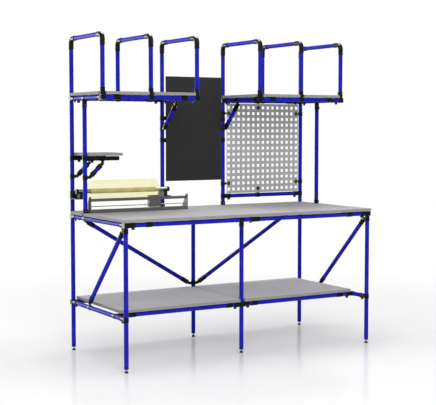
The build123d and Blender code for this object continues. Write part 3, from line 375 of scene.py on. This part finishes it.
wound_profile = []
for turn in range(end_turns):
    height = roll_left + end_step * (turn % 2)
    wound_profile += [(radius, height) for radius in turn_span(turn)]
wound_profile += [(roll_radius - edge_drop, roll_left + edge_start), (roll_radius, roll_left + edge_end)]
wound_profile += [
    (roll_radius - slack, slack_left), (roll_radius, swell_middle), (roll_radius - slack, slack_right),
]
wound_profile += [(roll_radius, roll_right - edge_end), (roll_radius - edge_drop, roll_right - edge_start)]
for turn in reversed(range(end_turns)):
    height = roll_right - end_step * (turn % 2)
    wound_profile += [(radius, height) for radius in reversed(turn_span(turn))]
wound_profile.append(wound_profile[0])
shape = bmesh.new()
turned(shape, Vector((0, roll_y, roll_z)), right, wound_profile, steps=72)
wound = make_piece("wound_film", shape, film, "roll", sharp=30)
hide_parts("film_roll")

# Core: a thin tube wound of light kraft card, pushed over the bar with the film on it.
# It is matt, with fibre flecks drawn at 2.6 mm and the soft seams of its plies every 120 mm.
core_card, tree, shader = new_finish("wound_card")
place = add(tree, "TexCoord", {})["Object"]
fibre = add(tree, "TexNoise", {"Vector": place, "Scale": 380.0, "Detail": 4.0, "Roughness": 0.7})["Fac"]
seam = add(tree, "TexWave", {"Vector": place, "Scale": 2.6, "Distortion": 1.5, "Detail": 1.0})["Fac"]
mixed = add(tree, "Math", {0: fibre, 1: seam}, operation="MULTIPLY")[0]
card = add(tree, "ValToRGB", {"Fac": mixed})["Color"]
ramp = card.node.color_ramp
ramp.elements[0].position, ramp.elements[1].position = 0.1, 0.6
ramp.elements[0].color, ramp.elements[1].color = linear("c6baa0"), linear("dad0b6")
relief = add(tree, "Bump", {"Height": mixed, "Strength": 0.25, "Distance": 0.0004})["Normal"]
for socket, value in (("Base Color", card), ("Normal", relief)):
    tree.links.new(value, shader.inputs[socket])
shader.inputs["Roughness"].default_value = 0.8
shader.inputs["Specular IOR Level"].default_value = 0.1
dress(core_card, "roll_core")

# Bench cutter: end plates, base, guide bar and carriage of aluminium, screwed together.
# They are brushed along the cutter and anodised grey, which gives them a dull sheen in fine lines. The lines
# are drawn 1.1 mm wide, so that they show.
cutter_grey, tree, shader = new_finish("grey_anodised_aluminium")
place = add(tree, "TexCoord", {})["Object"]
spread = add(tree, "Mapping", {"Vector": place, "Scale": (12.0, 900.0, 900.0)})["Vector"]
brush = add(tree, "TexNoise", {"Vector": spread, "Scale": 1.0, "Detail": 3.0})["Fac"]
grey = add(tree, "ValToRGB", {"Fac": brush})["Color"]
ramp = grey.node.color_ramp
ramp.elements[0].position, ramp.elements[1].position = 0.3, 0.7
ramp.elements[0].color, ramp.elements[1].color = linear("5a5856"), linear("6d6b68")
gloss = add(tree, "MapRange", {"Value": brush, 3: 0.35, 4: 0.5})[0]
relief = add(tree, "Bump", {"Height": brush, "Strength": 0.12, "Distance": 0.0002})["Normal"]
for socket, value in (("Base Color", grey), ("Roughness", gloss), ("Normal", relief)):
    tree.links.new(value, shader.inputs[socket])
shader.inputs["Specular IOR Level"].default_value = 0.12
shader.inputs["Metallic"].default_value = 0.1
dress(cutter_grey, "cutter_end_plates", "cutter_base", "cutter_guide_bar", "cutter_carriage")

# Screws that hold the cutter's end plates to its bars: three low button heads in each plate.
# They are turned steel under black zinc, with a round socket in the middle of each.
head_profile = [
    (0.0, 0.0006), (0.0014, 0.0006), (0.0015, 0.0012), (0.0023, 0.0012), (0.0032, 0.0008), (0.0035, 0.0),
    (0.0035, -0.0002), (0.0, -0.0002),
]
plate_faces = ((-0.882, -right), (-0.178, right))
screw_places = ((0.162, 0.996), (0.1595, 0.925), (0.1745, 0.925))
shape = bmesh.new()
for x, way in plate_faces:
    for y, z in screw_places:
        turned(shape, Vector((x, y, z)), way, head_profile, steps=24)
make_piece("cutter_screws", shape, black_zinc, "frame")

# Grip on the cutter's carriage: five small ribs milled into its front for the fingers.
# Their edges are broken by half a millimetre, so that each one takes a thin line of light.
grip_x, grip_y, grip_z = -0.434, 0.1476, 0.997
rib_count, rib_pitch, rib_edge = 5, 0.006, 0.0005
rib_size = Matrix.Diagonal((0.0024, 0.0016, 0.026, 1))
shape = bmesh.new()
for count in range(rib_count):
    spot = Matrix.Translation((grip_x + rib_pitch * count, grip_y, grip_z)) @ rib_size
    bmesh.ops.create_cube(shape, size=1.0, matrix=spot)
bmesh.ops.bevel(
    shape, geom=shape.edges[:], offset=rib_edge, segments=2, profile=0.5, affect="EDGES", material=-1
)
make_piece("carriage_grip", shape, cutter_grey, "carriage")

# Hold-down rod, blade, its pin and the roll's bar: stainless steel, ground along the bars and left bare.
# The grinding scratches give the bright metal soft streaks. They are drawn 0.8 mm wide, so that they show.
ground_steel, tree, shader = new_finish("ground_stainless_steel")
place = add(tree, "TexCoord", {})["Object"]
spread = add(tree, "Mapping", {"Vector": place, "Scale": (40.0, 1200.0, 1200.0)})["Vector"]
brush = add(tree, "TexNoise", {"Vector": spread, "Scale": 1.0, "Detail": 2.0})["Fac"]
gloss = add(tree, "MapRange", {"Value": brush, 3: 0.2, 4: 0.38})[0]
tree.links.new(gloss, shader.inputs["Roughness"])
shader.inputs["Base Color"].default_value = linear("97979a")
shader.inputs["Metallic"].default_value = 1.0
dress(ground_steel, "cutter_hold_rod", "blade_pin", "cutter_blade", "roll_shaft")

# Studio floor: one large sheet painted white, with a faint sheen, on which the table stands.
# It keeps the table's soft shadow and fades into a white background some metres away.
floor_half, fade_start, fade_end = 40.0, 1.4, 4.2


def seen_by_eye(tree):
    """1 where the camera sees a surface, also in gloss and through film, and 0 where it only gives light."""
    rays = add(tree, "LightPath", {})
    seen = add(tree, "Math", {0: rays["Is Camera Ray"], 1: rays["Is Glossy Ray"]}, operation="MAXIMUM")[0]
    return add(tree, "Math", {0: seen, 1: rays["Is Transmission Ray"]}, operation="MAXIMUM")[0]


floor_shape = bmesh.new()
bmesh.ops.create_grid(floor_shape, x_segments=1, y_segments=1, size=floor_half)
floor_mesh = bpy.data.meshes.new("studio_floor")
floor_shape.to_mesh(floor_mesh)
floor_shape.free()
floor = bpy.data.objects.new("studio_floor", floor_mesh)
bpy.context.scene.collection.objects.link(floor)
floor_paint, tree, shader = new_finish("white_studio_floor")
shader.inputs["Base Color"].default_value = linear("f6f6f6")
shader.inputs["Roughness"].default_value = 0.16
shader.inputs["Specular IOR Level"].default_value = 0.045
place = add(tree, "TexCoord", {})["Object"]
distance = add(tree, "VectorMath", {0: place}, operation="LENGTH")["Value"]
reach = {"Value": distance, 1: fade_start, 2: fade_end}
far = add(tree, "MapRange", reach, interpolation_type="SMOOTHSTEP")[0]
fade = add(tree, "Math", {0: far, 1: seen_by_eye(tree)}, operation="MULTIPLY")[0]
white = add(tree, "Emission", {"Color": (1.0, 1.0, 1.0, 1.0), "Strength": 1.0})[0]
faded = add(tree, "MixShader", {0: fade, 1: shader.outputs[0], 2: white})[0]
tree.links.new(faded, tree.nodes["Material Output"].inputs["Surface"])
floor_mesh.materials.append(floor_paint)

# Studio surround: plain white on all sides, which lights the table softly.
# It is white to the eye, in gloss and through the film, and a little dimmer as a light.
world = bpy.data.worlds.new("white_studio")
bpy.context.scene.world = world
world.use_nodes = True
tree = world.node_tree
strength = add(tree, "MapRange", {"Value": seen_by_eye(tree), 3: 0.62, 4: 1.0})[0]
tree.nodes["Background"].inputs["Color"].default_value = (1.0, 1.0, 1.0, 1.0)
tree.links.new(strength, tree.nodes["Background"].inputs["Strength"])

# Lights: square soft boxes, hung round the table and aimed at it. Three of them light it plainly, and the
# two gleams only show in its gloss: one on the left faces of the tubes and one over the boards.


def softbox(name, place, target, size, power, diffuse=True):
    """Hang a square soft light and aim it; without diffuse it shows in gloss only."""
    lamp = bpy.data.lights.new(name, "AREA")
    lamp.shape, lamp.size, lamp.energy = "SQUARE", size, power
    hung = bpy.data.objects.new(name, lamp)
    hung.location = place
    hung.rotation_euler = (Vector(target) - Vector(place)).to_track_quat("-Z", "Y").to_euler()
    hung.visible_diffuse = diffuse
    bpy.context.scene.collection.objects.link(hung)


softbox("key_light", (-2.2, -5.2, 4.0), (0, 0, 0.7), 3.0, 125)
softbox("top_light", (0.1, 0.2, 5.0), (0, 0, 0.9), 2.6, 90)
softbox("side_light", (-3.4, 4.2, 2.0), (0, 0, 1.1), 2.4, 40)
softbox("side_gleam", (-3.1, 4.6, 1.2), (-0.9, 0, 1.0), 2.6, 190, diffuse=False)
softbox("top_gleam", (0.3, 0.6, 4.8), (0, 0, 0.9), 2.4, 560, diffuse=False)

# Camera at the photograph's place and angle: in front of the table and to its left, 1.45 m above the
# floor and turned slightly down.
camera_tilt, camera_turn = 0.0686, 0.5347
lens_camera = bpy.data.cameras.new("photo_camera")
lens_camera.lens = 89.6
photo_camera = bpy.data.objects.new("photo_camera", lens_camera)
photo_camera.location = (-3.6754, -6.1491, 1.4537)
photo_camera.rotation_euler = (math.pi / 2 - camera_tilt, 0.0, -camera_turn)
bpy.context.scene.collection.objects.link(photo_camera)
bpy.context.scene.camera = photo_camera
bpy.context.scene.view_settings.view_transform = "Standard"
